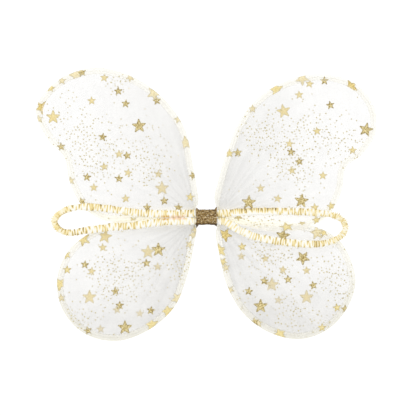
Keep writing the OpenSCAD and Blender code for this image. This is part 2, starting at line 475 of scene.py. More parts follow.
def tulle_material():
    look = Look("tulle")
    lap, threads = look.attribute("lap"), look.net_threads()
    pale = look.ramp(look.noise(26, 5), (0.3, (0.75, 0.74, 0.72)), (0.7, (0.82, 0.81, 0.785)))
    # The fold ramp is painted shade: the net is darkened in its creases' valleys.
    painted_crease_shade = look.ramp(look.attribute("fold"), (0.0, (0.78, 0.78, 0.77)), (1.0, WHITE))
    # Where the net lies over the other lobe and between the straps, lap warms the tint and adds a
    # painted glow that lightens the shade there.
    tint = look.mixed(lap, look.mixed(1, pale, painted_crease_shade, "MULTIPLY"), (0.97, 0.94, 0.87))
    cover = look.maths("MULTIPLY", look.attribute("cover"), look.between(threads, 0.62, 1.5))
    patchy = look.between(look.noise(60, 4), 0.88, 1.12, 0.25, 0.75)
    return look.surface({
        "Base Color": tint, "Emission Color": tint,
        "Emission Strength": look.between(lap, 0.0, 0.18),
        "Alpha": look.maths("MULTIPLY", cover, patchy),
        "Roughness": 0.62, "Sheen Weight": 0.2, "Specular IOR Level": 0.3,
        "Normal": look.bump(threads, 0.00008, 0.5)})


def hem_material():
    look = Look("hem_net")
    lap, wall, threads = look.attribute("lap"), look.attribute("wall"), look.net_threads()
    cloud = look.noise(60, 5)
    pale = look.ramp(cloud, (0.3, (0.94, 0.92, 0.85)), (0.7, (0.97, 0.96, 0.91)))
    # Where the shade attribute is high the hem takes a darker cream: painted shade.
    deep = look.ramp(cloud, (0.3, (0.75, 0.725, 0.63)), (0.7, (0.80, 0.78, 0.70)))
    ivory = look.mixed(look.attribute("shade"), pale, deep)
    line = look.between(look.attribute("edge"), 0.0, 0.85)
    lined = look.mixed(line, ivory, (0.72, 0.68, 0.46))
    # Between the straps lap warms the hem's tint and adds a painted glow.
    tint = look.mixed(look.between(lap, 0.0, 0.8), lined, (0.98, 0.95, 0.80))
    thin = look.maths("MULTIPLY", look.between(wall, 1.0, 0.6),
                      look.between(look.attribute("fade"), 1.0, 0.0))
    return look.surface({
        "Base Color": tint, "Emission Color": tint,
        # Painted glow: a little on the flat middle, more at the rounded edges, and more between the
        # straps.
        "Emission Strength": look.maths("ADD", look.between(wall, *HEM_PAINTED_GLOW),
                                        look.between(lap, 0.0, 0.16)),
        "Alpha": look.maths("MULTIPLY", look.between(threads, 0.34, 0.64), thin),
        "Roughness": look.between(cloud, 0.55, 0.8),
        "Sheen Weight": 0.3, "Specular IOR Level": 0.3,
        "Normal": look.bump(threads, 0.0001, 0.6)})


def foil_material(name, dark, light, metal, painted_glow=0.0):
    """Crinkled metal foil, darker at its edges; its glow is painted light that stands for the light
    the net lets through.
    """
    look = Look(name)
    blotch, grain = look.noise(640, 3), look.noise(2600, 2)
    rim = look.between(look.attribute("rim"), 1.0, 0.66)
    tint = look.mixed(1, look.ramp(blotch, (0.36, dark), (0.64, light)),
                      look.ramp(rim, (0.0, BLACK), (1.0, WHITE)), "MULTIPLY")
    return look.surface({
        "Base Color": tint, "Emission Color": tint, "Emission Strength": painted_glow,
        "Metallic": metal, "Roughness": look.between(grain, 0.35, 0.6),
        "Normal": look.bump(look.maths("ADD", grain, blotch), 0.0001, 0.7)})


def sleeve_material():
    look = Look("ruched_net")
    stain = look.attribute("stain")
    speck = look.between(look.noise(700, 3), -0.16, 0.16, 0.3, 0.7)
    tone = look.maths("ADD", stain, look.maths("MULTIPLY", speck, stain))
    # The marks' colour ramp: gold print, and painted shade in the creases.
    marked = look.ramp(
        tone, (0.0, (0.955, 0.945, 0.89)), (0.10, (0.94, 0.875, 0.65)),
        (0.26, (0.89, 0.735, 0.34)), (0.50, (0.67, 0.51, 0.19)), (0.80, (0.40, 0.29, 0.11)),
        (1.0, (0.20, 0.14, 0.06)))
    golden = look.mixed(look.attribute("golden"), marked, (0.68, 0.38, 0.07))
    return look.surface({
        # The rosy tone is partly painted shadow from the straps.
        "Base Color": look.mixed(look.attribute("rosy"), golden, (0.88, 0.63, 0.44)),
        "Roughness": look.between(stain, 0.7, 0.4),
        "Metallic": look.between(stain, 0.0, 0.3, 0.4, 1.0), "Sheen Weight": 0.25,
        "Normal": look.bump(look.net_threads(), 0.0001, 0.5)})


def glitter_material(name, cell, metal, by_piece, *colours):
    """Cells of coarse glitter; by_piece takes each flake's own tone instead of its cell's."""
    look = Look(name)
    cells = look.node("TexVoronoi", "Color", {"Vector": look.place, "Scale": 1 / cell})
    pick = look.node("SeparateColor", "Red", {"Color": cells})
    tone = look.attribute("tone")
    if not by_piece:
        patch = look.between(look.noise(420, 3), -0.42, 0.42, 0.3, 0.7)
        tone = look.maths("ADD", look.maths("ADD", pick, patch), tone)
    stops = [(0.25 * i, colour) for i, colour in enumerate(colours)]
    return look.surface({
        "Base Color": look.ramp(tone, *stops), "Metallic": metal,
        "Roughness": look.between(pick.node.outputs["Green"], 0.2, 0.6),
        "Normal": look.bump(cells.node.outputs["Distance"], 0.00025, 0.9)})


def plain_weave_material(name, dark, light, pitch):
    """Fine ribs and colour variation for thread, elastic and wire."""
    look = Look(name)
    ribs = look.node("TexWave", "Fac", {
        "Vector": look.place, "Scale": 0.32 / pitch, "Distortion": 1.5})
    return look.surface({
        "Base Color": look.ramp(look.noise(300, 3), (0.3, dark), (0.7, light)),
        "Roughness": look.between(ribs, 0.45, 0.7), "Normal": look.bump(ribs, 0.0001, 0.4)})


TULLE, HEM, SLEEVE = tulle_material(), hem_material(), sleeve_material()
FOILS = [
    foil_material("gold_foil", (0.33, 0.23, 0.06), (0.90, 0.78, 0.42), 0.4),
    foil_material("pale_gold_foil", (0.76, 0.64, 0.36), (0.90, 0.82, 0.56), 0.2),
    # The reverse foil is given a painted glow.
    foil_material("gold_foil_reverse", (0.77, 0.61, 0.18), (0.89, 0.75, 0.35), 0.1, 0.09),
    foil_material("dot_foil", (0.49, 0.41, 0.17), (0.63, 0.55, 0.30), 0.3),
    foil_material("soft_gold_foil", (0.72, 0.58, 0.25), (0.94, 0.82, 0.43), 0.3),
    foil_material("warm_gold_foil", (0.52, 0.37, 0.09), (0.92, 0.76, 0.34), 0.3),
]
DARK, PALE, REVERSE, DOT, MID, WARM = range(len(FOILS))
THREAD = plain_weave_material("thread", (0.90, 0.88, 0.80), (0.97, 0.96, 0.90), 0.5 * MM)
ELASTIC = plain_weave_material("elastic", (0.82, 0.80, 0.74), (0.93, 0.92, 0.88), 0.8 * MM)
WIRE = plain_weave_material("coated_wire", (0.90, 0.89, 0.85), (0.97, 0.96, 0.93), 2 * MM)
BAND = glitter_material(
    "glitter_ribbon", 1.15 * MM, 0.35, False, (0.042, 0.022, 0.006), (0.174, 0.097, 0.026),
    (0.31, 0.19, 0.058), (0.48, 0.325, 0.12), (0.82, 0.66, 0.40))
FLAKE = glitter_material(
    "glitter_flakes", 0.6 * MM, 0.5, True, (0.03, 0.016, 0.005), (0.15, 0.082, 0.02),
    (0.35, 0.215, 0.062), (0.58, 0.41, 0.16), (0.97, 0.88, 0.68))


# ---------- the lobes ----------

# How dark the seam line along each hem's outer fold looks, from 0 to 1.
HEM_LINE = {"upper_left": 0.55, "lower_left": 1.0, "upper_right": 0.25, "lower_right": 0.8}
# What both layers of net let through: far from the middle, how much less beside it, the
# distance in mm over which that fades, and how much less along a lower lobe's bottom.
# Less let through beside the middle stands partly for the gathered net's thickness and partly for
# painted shade; less along a lower lobe's bottom, and the lower lobes' smaller far values, are painted
# shade.
NET_CLEAR = {"upper_left": (0.70, 0.58, 75, 0.0), "lower_left": (0.66, 0.72, 65, 0.26),
             "upper_right": (0.77, 0.66, 92, 0.0), "lower_right": (0.70, 0.56, 85, 0.36)}
TUCK = 1.6 * MM  # how far the net reaches into the hem
FINE_NET = 75 * MM  # round the neck the net's mesh is finer, for its creases
STITCH_SEAT = 0.86  # the stitches' place across the hem, from its outer fold
# A stitch's rings: place along it as a share of its length, and girth.
STITCH_SHAPE = ((-0.5, 0.35), (-0.36, 0.9), (0, 1), (0.36, 0.9), (0.5, 0.35))


def lobe_outline(name):
    """A node's outline as a smooth line that runs counter-clockwise."""
    line = rounded_line(top_outline(name), 1.4 * MM, True)
    return line if area_of(line) > 0 else line[::-1]


class Lobe:
    """One lobe's outlines and the heights of its pieces over its own leaning plane."""

    def __init__(self, key, seed):
        level, hand = key.split("_")
        self.key, self.seed, self.hand = key, seed, hand
        self.side = -1 if hand == "left" else 1
        self.upper = level == "upper"
        tulle, hem = node_vertices(f"front_tulle_{key}"), node_vertices(f"hem_{key}")
        self.lean = np.polyfit(tulle[:, 1], tulle[:, 2], 1)[0]
        rise = hem[:, 2] - self.lean * hem[:, 1]
        self.base, self.thick = rise.min(), np.ptp(rise)
        self.outer = lobe_outline(f"hem_{key}")
        self.inner = lobe_outline(f"front_tulle_{key}")
        self.inward = -side_of(self.outer, True)
        other = "lower" if self.upper else "upper"
        self.other = rounded_line(top_outline(f"hem_{other}_{hand}"), 3 * MM, True)
        gap, _ = nearest(self.inner[::2], self.outer)
        self.width = np.convolve(np.pad(gap, 4, "wrap"), np.ones(9) / 9, "valid")
        self.round = lengths(joined(self.outer)).sum()
        self.along = np.arange(len(self.outer)) * self.round / len(self.outer)
        self.neck = np.array([self.side * NECK[0], NECK[1] if self.upper else -NECK[1]])
        self.pucker = Ripple(seed, 4.5 * MM, 9 * MM)
        self.flutter = Ripple(seed + 1, 5 * MM, 12 * MM)
        rng = np.random.default_rng(seed + 2)
        creases = 22
        self.fold_rate = rng.uniform(24, 95, creases)
        self.fold_twist = rng.uniform(-1, 1, creases) / (70 * MM)
        self.fold_phase = rng.uniform(0, TURN, creases)
        self.fold_size = 1 / np.sqrt(self.fold_rate)
        self.fold_size /= np.sqrt((self.fold_size ** 2).sum() / 2)
        self.sway = Ripple(seed + 3, 38 * MM, 80 * MM, 6, 2)

    def place(self, xy, height):
        """World points for plan positions and heights over the lobe's plane."""
        return np.column_stack([xy, self.base + self.lean * xy[:, 1] + height])

    def hem_bulge(self, across, which):
        """Half the hem's thickness at a share of its width in from the fold."""
        v = rising(across)
        round_off = (2 * np.sqrt(v * (1 - v))) ** 0.75
        ruffle = 1 + (0.10 + 0.16 * v) * self.pucker(self.along[which])
        return 0.44 * self.thick * round_off * np.clip(ruffle, 0.55, 1.12)

    def folds(self, xy):
        """Creases that run out from the neck, how strongly the net is gathered, and how far
        each point is from the neck."""
        d = xy - self.neck
        r = norm(d)
        phi = np.arctan2(d[:, 1], self.side * d[:, 0])
        wave = np.sin(np.outer(phi, self.fold_rate) + np.outer(r, self.fold_twist)
                      + self.fold_phase) @ self.fold_size
        return wave, np.exp(-r / (62 * MM)), r

    def clearness(self, xy):
        """The share of light that both layers of net let through."""
        far, drop, reach, deep = NET_CLEAR[self.key]
        # Less let through along a lower lobe's bottom is painted shade.
        low_down = rising(-xy[:, 1], 30 * MM, 110 * MM) ** 2
        clear = far - drop * np.exp(-np.abs(xy[:, 0]) / (reach * MM)) - deep * low_down
        return np.maximum(clear, 0.06)

    def between_straps(self, xy):
        """1 close to the band between the arm loop's two runs, fading outwards."""
        reach = np.abs(xy[:, 0] - self.neck[0])
        return bell(xy[:, 1], 12 * MM, 4) * bell(reach, 125 * MM)

    def net_height(self, xy, layer):
        """Height of the front (1) or back (-1) net."""
        gap, which = depth_in(self.outer, xy)
        wave, near, _ = self.folds(xy)
        past_hem = gap - self.width[which]
        open_up = rising(past_hem, -2 * MM, 14 * MM)
        open_up = open_up * open_up * (3 - 2 * open_up)
        crease = wave * (0.05 + 0.26 * near)
        ripple = 0.10 * self.flutter(self.along[which]) * np.exp(-np.maximum(past_hem, 0) / (7 * MM))
        swell = 0.16 * self.sway(xy[:, 0] + layer * 9 * MM, xy[:, 1])
        rise = layer * (0.16 + 0.50 * open_up) + open_up * (crease + swell) + ripple
        return np.clip(self.thick / 2 + rise * MM, 0.15 * MM, self.thick - 0.12 * MM)


def cut_sheet(outlines, loose):
    """Triangulates outlines and loose points: (points, triangles, outlines each lies in)."""
    points, faces = [], []
    for loop in outlines:
        faces.append(list(range(len(points), len(points) + len(loop))))
        points += [Vector(p) for p in loop]
    points += [Vector(p) for p in loose]
    found = delaunay_2d_cdt(points, [], faces, 0, 1e-7, True)
    return np.array([tuple(p) for p in found[0]]), found[2], found[5]


def up_facing(points, faces):
    """Faces turned so that each runs counter-clockwise seen from above."""
    turned = []
    for f in faces:
        a, b, c = (points[i] for i in f[:3])
        up = (b[0] - a[0]) * (c[1] - a[1]) - (b[1] - a[1]) * (c[0] - a[0])
        turned.append(tuple(f) if up > 0 else tuple(f)[::-1])
    return turned


def hex_points(loop, step, margin):
    """Points in even triangles inside an outline, clear of its edge by a margin."""
    low, high = loop.min(0), loop.max(0)
    rows = np.arange(low[1], high[1], step * 0.866)
    spots = np.array([(x + (step / 2 if i % 2 else 0), y)
                      for i, y in enumerate(rows) for x in np.arange(low[0], high[0], step)])
    return spots[depth_in(loop, spots)[0] > margin]


def star_outline(x, y, radius, turn, flat=1.0):
    """A five-pointed star with slightly blunted tips, flattened along Y where flat is below 1."""
    points = []
    for k in range(5):
        for share, offset in ((0.97, -4), (0.97, 4), (0.47, 36)):
            a = math.radians(turn + 72 * k + offset + 90)
            reach = radius * share
            points.append((x + reach * math.cos(a), y + reach * flat * math.sin(a)))
    return np.array(points)


def net_sheet(lobe, layer):
    """The front or back net of a lobe, tucked into the hem all round; its size and area."""
    loop = lobe.inner + side_of(lobe.inner, True) * TUCK
    loop = loop[inside(lobe.outer, loop)][::2]
    coarse, fine = hex_points(loop, 2.6 * MM, 1.2 * MM), hex_points(loop, 1.5 * MM, 0.9 * MM)
    loose = np.vstack([coarse[norm(coarse - lobe.neck) >= FINE_NET],
                       fine[norm(fine - lobe.neck) < FINE_NET]])
    points, faces, owner = cut_sheet([loop], loose)
    faces = up_facing(points, [f for f, o in zip(faces, owner) if o])
    if layer < 0:
        faces = [f[::-1] for f in faces]
    wave, near, _ = lobe.folds(points)
    valley = 0.5 + 0.5 * np.clip(wave, -1, 1)
    past, _ = depth_in(lobe.other, points)
    obj = mesh_object(
        f"{LAYERS[layer]}_net_{lobe.key}", lobe.place(points, lobe.net_height(points, layer)),
        faces, [TULLE], cover=1 - np.sqrt(lobe.clearness(points)),
        # lap carries a painted glow over the other lobe and between the straps; fold carries painted
        # shade in the creases' valleys.
        lap=np.maximum(rising(past, -2 * MM, 4 * MM), 0.85 * lobe.between_straps(points)),
        fold=1 - (1 - valley) * rising(0.08 + 0.9 * near))
    return obj, tuple(np.ptp(loop, 0)), abs(area_of(loop))


def hem_casing(lobe):
    """Net folded round the wire: an open strip round the lobe, ruffled along its inner edge."""
    rings, around = len(lobe.outer), 19
    turn = np.linspace(0, TURN, around)
    which = np.repeat(np.arange(rings), around)
    v = np.tile(0.5 + 0.5 * np.cos(turn), rings)
    wavy = 1 + 0.045 * lobe.flutter(lobe.along[which])
    reach = v * lobe.width[which] * np.where(v > 0.5, wavy, 1)
    xy = lobe.outer[which] + lobe.inward[which] * reach[:, None]
    side = np.tile(np.sign(np.sin(turn)), rings)
    height = lobe.thick / 2 + side * lobe.hem_bulge(v, which)
    # Painted shade darkens the hems along the bottom and, on the upper lobes, towards the neck.
    _, _, r = lobe.folds(xy)
    shade = (0.03 + 0.45 * np.exp(-r / (70 * MM)) if lobe.upper
             else 0.12 + 0.78 * rising(-xy[:, 1], 60 * MM, 80 * MM))
    return mesh_object(
        f"hem_casing_{lobe.key}", lobe.place(xy, height), grid_faces(rings, around, True, False),
        [HEM], edge=HEM_LINE[lobe.key] * bell(v, 0.10), wall=np.abs(2 * v - 1) ** 6,
        # lap carries a painted glow between the straps.
        shade=shade, lap=lobe.between_straps(xy), fade=np.zeros(len(v)))


def hem_wire(lobe):
    """The spring wire along the middle of the hem."""
    around, radius = 10, 0.8 * MM
    line = lobe.outer + lobe.inward * (lobe.width * 0.5)[:, None]
    line = rounded_line(line[::4], 3 * MM, True)
    cos, sin = circle(around)
    height = np.tile(lobe.thick / 2 + radius * sin, len(line))
    return mesh_object(f"spring_wire_{lobe.key}",
                       lobe.place(beside(line, side_of(line, True), radius * cos), height),
                       grid_faces(len(line), around, True), [WIRE])


def hem_stitches(lobe):
    """A row of short thread stitches along the hem's inner edge, above and below."""
    pitch, span, radius, around = 3.2 * MM, 2.1 * MM, 0.2 * MM, 6
    line = lobe.outer + lobe.inward * (lobe.width * STITCH_SEAT)[:, None]
    out = side_of(line, True)
    ahead = np.stack([-out[:, 1], out[:, 0]], 1)
    cos, sin = circle(around)
    points, faces = [], []
    for s in np.arange(0, lobe.along[-1], pitch):
        i = int(s / lobe.along[1])
        if lobe.width[i] < 4.5 * MM:
            continue
        rise = lobe.hem_bulge(np.array([STITCH_SEAT]), np.array([i]))[0]
        for layer in LAYERS:
            start = len(points)
            for share, girth in STITCH_SHAPE:
                dip = rise + radius * (0.5 - 1.6 * (2 * share) ** 4)
                xy = line[i] + ahead[i] * span * share + np.outer(radius * girth * cos, out[i])
                height = lobe.thick / 2 + layer * dip + radius * girth * sin
                points += list(lobe.place(xy, height))
            for f in tube_faces(len(STITCH_SHAPE), around):
                faces.append(tuple(start + k for k in f))
    return mesh_object(f"hem_stitches_{lobe.key}", points, faces, [THREAD])


# ---------- foil prints ----------

WHOLE, ON_HEM, IN_NET = range(3)
# Each group of stars: radius, layer, foil, and the part of the lobe that it shows on.
STAR_GROUPS = {
    "back_big": (BIG_R, -1, REVERSE, WHOLE), "back_small": (SMALL_R, -1, REVERSE, WHOLE),
    "pale_big": (BIG_R, 1, PALE, WHOLE), "pale_cut_big": (BIG_R, 1, PALE, ON_HEM),
    "pale_small": (SMALL_R, 1, PALE, WHOLE), "soft_big": (BIG_R, 1, MID, WHOLE),
    "soft_cut_big": (BIG_R, 1, MID, ON_HEM), "soft_small": (SMALL_R, 1, MID, WHOLE),
    "soft_cut_small": (SMALL_R, 1, MID, ON_HEM), "net_big": (BIG_R, 1, WARM, IN_NET),
    "front_big": (BIG_R, 1, DARK, WHOLE), "cut_big": (BIG_R, 1, WARM, ON_HEM),
    "front_small": (SMALL_R, 1, DARK, WHOLE), "cut_small": (SMALL_R, 1, DARK, ON_HEM),
}
# The share of each cluster's dots that is on a layer, and how far they are shifted in mm.
DOT_LAYERS = {1: (0.58, 0, 0), -1: (0.40, 7, -5)}


def resting_heights(xy, layer, skins):
    """Heights of the outermost of some skins over each plan position, from that side."""
    trees = [BVHTree.FromPolygons([v.co for v in o.data.vertices],
                                  [p.vertices for p in o.data.polygons]) for o in skins]
    found = []
    for x, y in xy:
        start, way = Vector((x, y, 0.1 * layer)), Vector((0, 0, -layer))
        hits = [hit.z for hit in (tree.ray_cast(start, way)[0] for tree in trees) if hit]
        found.append(layer * max(layer * z for z in hits) if hits else np.nan)
    found = np.array(found)
    found[np.isnan(found)] = np.nanmedian(found)
    return found


def star_faces(lobe, layer):
    """Stars cut to the lobe: their points in plan, their faces, each face's foil, and how near
    each point is to a star's rim, from 0 to 1."""
    stars = [(star_outline(x * MM, y * MM, radius, turn, *flat), foil, part)
             for group, (radius, side, foil, part) in STAR_GROUPS.items() if side == layer
             for x, y, turn, *flat in PRINTS[lobe.key].get(group, [])]
    outlines = [outline for outline, _, _ in stars]
    loose = np.vstack([hex_points(o, 1.5 * MM, 0.55 * MM) for o in outlines])
    points, faces, owner = cut_sheet([lobe.outer[::2], lobe.inner[::2]] + outlines, loose)
    kept, foils = [], []
    for f, within in zip(faces, owner):
        star = max(within, default=0) - 2
        if 0 not in within or star < 0:
            continue
        _, foil, part = stars[star]
        if part != (ON_HEM if 1 in within else IN_NET):
            kept.append(f)
            foils.append(foil)
    used = sorted({i for f in kept for i in f})
    new = {i: k for k, i in enumerate(used)}
    xy = points[used]
    rim = np.ones(len(xy))
    for o in outlines:
        within = inside(o, xy)
        gap, _ = nearest(o, xy[within])
        rim[within] = 1 - rising(gap, 0, 1.2 * MM)
    return xy, [tuple(new[i] for i in f) for f in up_facing(points, kept)], foils, rim


def scattered_dots(lobe, layer, taken):
    """Centres of small dots, thick at each cluster's middle and clear of the stars."""
    rng = np.random.default_rng(lobe.seed + 20 + layer)
    share, *shift = DOT_LAYERS[layer]
    centres = []
    for x, y, radius, count in PRINTS[lobe.key]["dots"]:
        wanted, tries = int(count * share), 0
        while wanted > 0 and tries < 4000:
            tries += 1
            p = (np.array([x, y]) + shift + rng.normal(0, 0.45, 2) * radius) * MM
            crowded = centres and norm(np.array(centres) - p).min() < 3.5 * MM
            if not crowded and norm(taken - p).min() >= 2.0 * MM:
                centres.append(p)
                wanted -= 1
    centres = np.array(centres)
    return centres[depth_in(lobe.outer, centres)[0] > 1.0 * MM]


def dot_faces(lobe, layer, taken):
    """The taken points followed by those of the small dots, and the dots' faces."""
    rng = np.random.default_rng(lobe.seed + 30 + layer)
    sides, start = 8, len(taken)
    rounds = np.column_stack(circle(sides))
    points, faces = [taken], []
    for c in scattered_dots(lobe, layer, taken):
        points.append(np.vstack([c, c + rng.uniform(0.68, 0.98) * MM * rounds]))
        faces += [(start, start + 1 + k, start + 1 + (k + 1) % sides) for k in range(sides)]
        start += sides + 1
    return np.vstack(points), faces


def foil_print(lobe, layer, skins):
    """Foil stars and dots lying on one side of a lobe, each a thin closed shell."""
    stars, faces, foils, rim = star_faces(lobe, layer)
    xy, dots = dot_faces(lobe, layer, stars)
    faces, foils = faces + dots, foils + [DOT] * len(dots)
    rim = np.append(rim, np.zeros(len(xy) - len(stars)))
    rest = resting_heights(xy, layer, skins)
    _, near, _ = lobe.folds(xy)
    # The print fills the net's holes, so it stands proud of the net on both of its faces.
    proud, soaked = (0.11 + 0.10 * near) * MM, 0.09 * MM
    top = rest + (proud if layer > 0 else soaked)
    low = rest - soaked if layer > 0 else np.maximum(rest - proud, 0.02 * MM)
    points, shells = shell(np.column_stack([xy, top]), faces, top - low)
    unlit = REVERSE if layer > 0 else DARK
    under = [DOT if f == DOT else unlit for f in foils]
    walls = [DARK] * (len(shells) - 2 * len(faces))
    return mesh_object(f"foil_print_{LAYERS[layer]}_{lobe.key}", points, shells, FOILS,
                       foils + under + walls, False, rim=np.append(rim, rim))


def build_lobe(key, seed):
    lobe = Lobe(key, seed)
    body = f"{lobe.hand}_wing"
    casing, wire, stitches = hem_casing(lobe), hem_wire(lobe), hem_stitches(lobe)
    enter(casing, body, f"hem_{key}")
    enter(wire, body, f"wire_{key}")
    enter(stitches, body)
    2 * float(np.median(lobe.width))
    nets = {layer: net_sheet(lobe, layer) for layer in LAYERS}
    for layer, (net, size, area) in nets.items():
        foil = foil_print(lobe, layer, [net, casing])
        enter(net, body, f"{LAYERS[layer]}_tulle_{key}")
        enter(foil, body)


# ---------- the arm loops ----------

LOOP_STEP = 0.5 * MM  # distance between a sleeve's rings
INTO_BAND = 2.6 * MM  # how far a sleeve runs on into the band
SLEEVE_HALF = (5.35 * MM, 2.75 * MM)  # half a sleeve's width and height
ELASTIC_HALF = (2.7 * MM, 0.42 * MM)  # half an elastic's width and height
# The creases' colour is partly gold print and partly painted shade.
# How strongly the creases are coloured along a strap's two runs, from the band outwards and
# back again: (x in mm from the middle, share). The second run lies nearer the lower lobes.
CREASE_TONES = {
    "left": (
        [(14, 0.92), (28, 0.76), (40, 0.46), (62, 0.42), (78, 0.62), (90, 0.40), (106, 0.44),
         (120, 0.50), (133, 0.62), (154, 0.70), (165, 0.40), (178, 0.62), (192, 0.55), (204, 0.50)],
        [(14, 0.28), (35, 0.36), (58, 0.46), (75, 0.42), (98, 0.64), (110, 0.64), (125, 0.56),
         (140, 0.48), (152, 0.52), (165, 0.76), (178, 0.88), (192, 0.80), (204, 0.50)]),
    "right": (
        [(14, 0.40), (34, 0.50), (60, 0.58), (86, 0.60), (100, 0.52), (115, 0.62), (130, 0.60),
         (142, 0.40), (155, 0.42), (168, 0.48), (178, 0.42), (187, 0.40)],
        [(14, 0.34), (28, 0.40), (45, 0.30), (60, 0.32), (75, 0.52), (90, 0.62), (105, 0.60),
         (125, 0.55), (142, 0.62), (156, 0.66), (170, 0.62), (187, 0.45)]),
}
# Broad printed streaks across the straps: (run, x in mm from the middle, width in mm, share),
# and the part of the width that a short one covers, from -1 inside the loop to 1 outside it.
STREAKS = {
    "left": [(0, 154, 4.4, 0.50), (0, 146, 2.8, 0.42), (0, 133.5, 2.0, 0.55), (0, 120, 2.2, 0.42),
             (0, 106, 2.0, 0.40), (0, 99, 1.8, 0.36), (0, 78, 2.6, 0.52), (1, 98, 3.2, 0.50),
             (1, 109, 2.6, 0.50), (1, 136, 2.4, 0.50), (0, 55, 3.0, 0.40), (1, 162, 3.0, 0.60),
             (1, 43, 2.4, 0.46, -1.3, -0.25), (1, 36, 2.6, 0.52, -1.3, -0.1),
             (1, 29, 2.0, 0.40, -1.3, -0.4), (1, 57, 2.2, 0.40, -1.3, -0.2)],
    "right": [(0, 89, 1.8, 0.40), (0, 95, 1.8, 0.44), (0, 101, 1.8, 0.46), (1, 24, 3.0, 0.20),
              (1, 31, 2.6, 0.24), (1, 156, 2.6, 0.36), (1, 118, 2.4, 0.46), (0, 146, 3.0, 0.30)],
}
# Printed dots on the straps, as (x, y) in millimetres in the row frame.
STRAP_DOTS = {
    "left": [(-56, 9.0), (-52.7, 7.6), (-44.5, 8.2), (-38.5, 6.6), (-52.7, -9.6), (-80, 9.4),
             (-116, -12.5), (-31, 5.2)],
    "right": [(31, 5.6), (52, 6.2), (70, -14.4), (93, -17.2), (120, 6.6)],
}


def bend_with(obj, side, height, end):
    """Bakes a soft piece's placement into its mesh."""
    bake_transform(obj)


def loop_line(side):
    """An arm loop's middle line, from inside the band out along its upper run and back, the
    unit vectors to its outside, and its height."""
    outline = top_outline(f"elastic_{SIDES[side]}")
    ends = np.argsort(np.abs(outline[:, 0]))[:4]
    ends = ends[np.argsort(-outline[ends, 1])]
    loop = np.roll(outline, -ends[0], 0)
    if np.allclose(loop[1], outline[ends[1]]):
        loop = np.vstack([loop[:1], loop[:0:-1]])
    half = len(loop) // 2
    line = rounded_line((loop[:half] + loop[half:][::-1]) / 2, LOOP_STEP, False)
    steps = np.arange(INTO_BAND, 0, -LOOP_STEP)[:, None] * np.array([side, 0])
    line = np.vstack([line[0] - steps, line, line[-1] - steps[::-1]])
    out = side_of(line, False)
    if out[len(line) // 2][0] * side < 0:
        out = -out
    low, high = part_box(f"sleeve_{SIDES[side]}")
    return line, out, (low.z + high.z) / 2


def random_marks(key, along, away, rng):
    """The creases all round a strap: for each its place along the strap, half width, slant,
    bend, start and end across, depth, tone, and how much lighter it is in the middle."""
    at, side = 1.0 * MM, 1
    while at < along[-1] - MM:
        run = 0 if at < along[away.argmax()] else 1
        busy_run = key == "right" and run == 0
        x = np.interp(at, along, away)
        tone = np.interp(x, *zip(*CREASE_TONES[key][run])) * rng.uniform(0.75, 1.7)
        free = rising(x, away.max() - 16, 8)
        lean = rng.normal(0.0, 0.55) * MM
        if key == "left" and run == 1 and 55 < x < 80:
            lean = rng.uniform(-1.9, -1.1) * MM
        kind = rng.random()
        if free > rng.random():
            tip = rng.uniform(-0.4, 0.7)
            start, end = (-1.3, tip) if side > 0 or key == "left" else (-tip, 1.3)
            tone *= 1.2 if key == "left" else 0.85
        elif busy_run and 28 < x < 110 and kind < 0.75:
            start, end = rng.uniform(-0.45, 0.15), 1.3
            tone *= 1.62
        elif kind < 0.36:
            start, end = -1.3, 1.3
        elif side > 0:
            start, end = rng.uniform(-0.55, 0.15), 1.3
        else:
            start, end = -1.3, rng.uniform(-0.15, 0.55)
        side = -side
        half_width = rng.uniform(0.75, 1.20) * (1 - 0.35 * free) * MM
        bend, deep = rng.normal(0, 0.5) * MM, rng.uniform(0.7, 1.0)
        yield at, half_width, lean, bend, start, end, deep, tone, rng.uniform(0.1, 0.75)
        at += rng.uniform(2.5, 4.6) * (1 - 0.42 * free - 0.22 * busy_run) * MM


def streak_marks(key, along, away, rng):
    """The broad printed streaks, given in the same way as the creases."""
    for run, x, width, tone, *part in STREAKS[key]:
        spots = np.where((along > along[away.argmax()]) == (run == 1))[0]
        at = along[spots[np.argmin(np.abs(away[spots] - x))]]
        start, end = part or (-0.75, 1.2)
        yield at, 0.42 * width * MM, rng.normal(0, 0.5) * MM, 0, start, end, 0.35, tone, 0.15


def creases(key, line, along, s, c, seed):
    """Grooves across a gathered strap: their depth and their colour, from 0 to 1; the colour is partly
    gold print and partly painted shade in the grooves.
    """
    rng = np.random.default_rng(seed)
    away = np.abs(line[:, 0]) / MM
    depth, colour = np.zeros_like(s), np.zeros_like(s)
    marks = [*random_marks(key, along, away, rng), *streak_marks(key, along, away, rng)]
    for at, half_width, slant, bend, start, end, deep, tone, tip in marks:
        middle = at + slant * c + bend * (c * c - 0.4)
        # A mark that starts at one edge narrows like a drop towards its other end.
        drop = 0.0 if end - start > 2 else math.copysign(0.42, start + end)
        across = bell(s - middle, half_width * (1 + drop * c))
        mark = across / (1 + np.exp((start - c) / 0.10)) / (1 + np.exp((c - end) / 0.10))
        depth = np.maximum(depth, deep * mark)
        colour = np.maximum(colour, tone * (1 - tip + tip * np.abs(c) ** 1.5) * mark ** 1.3)
    return rising(depth), rising(colour)


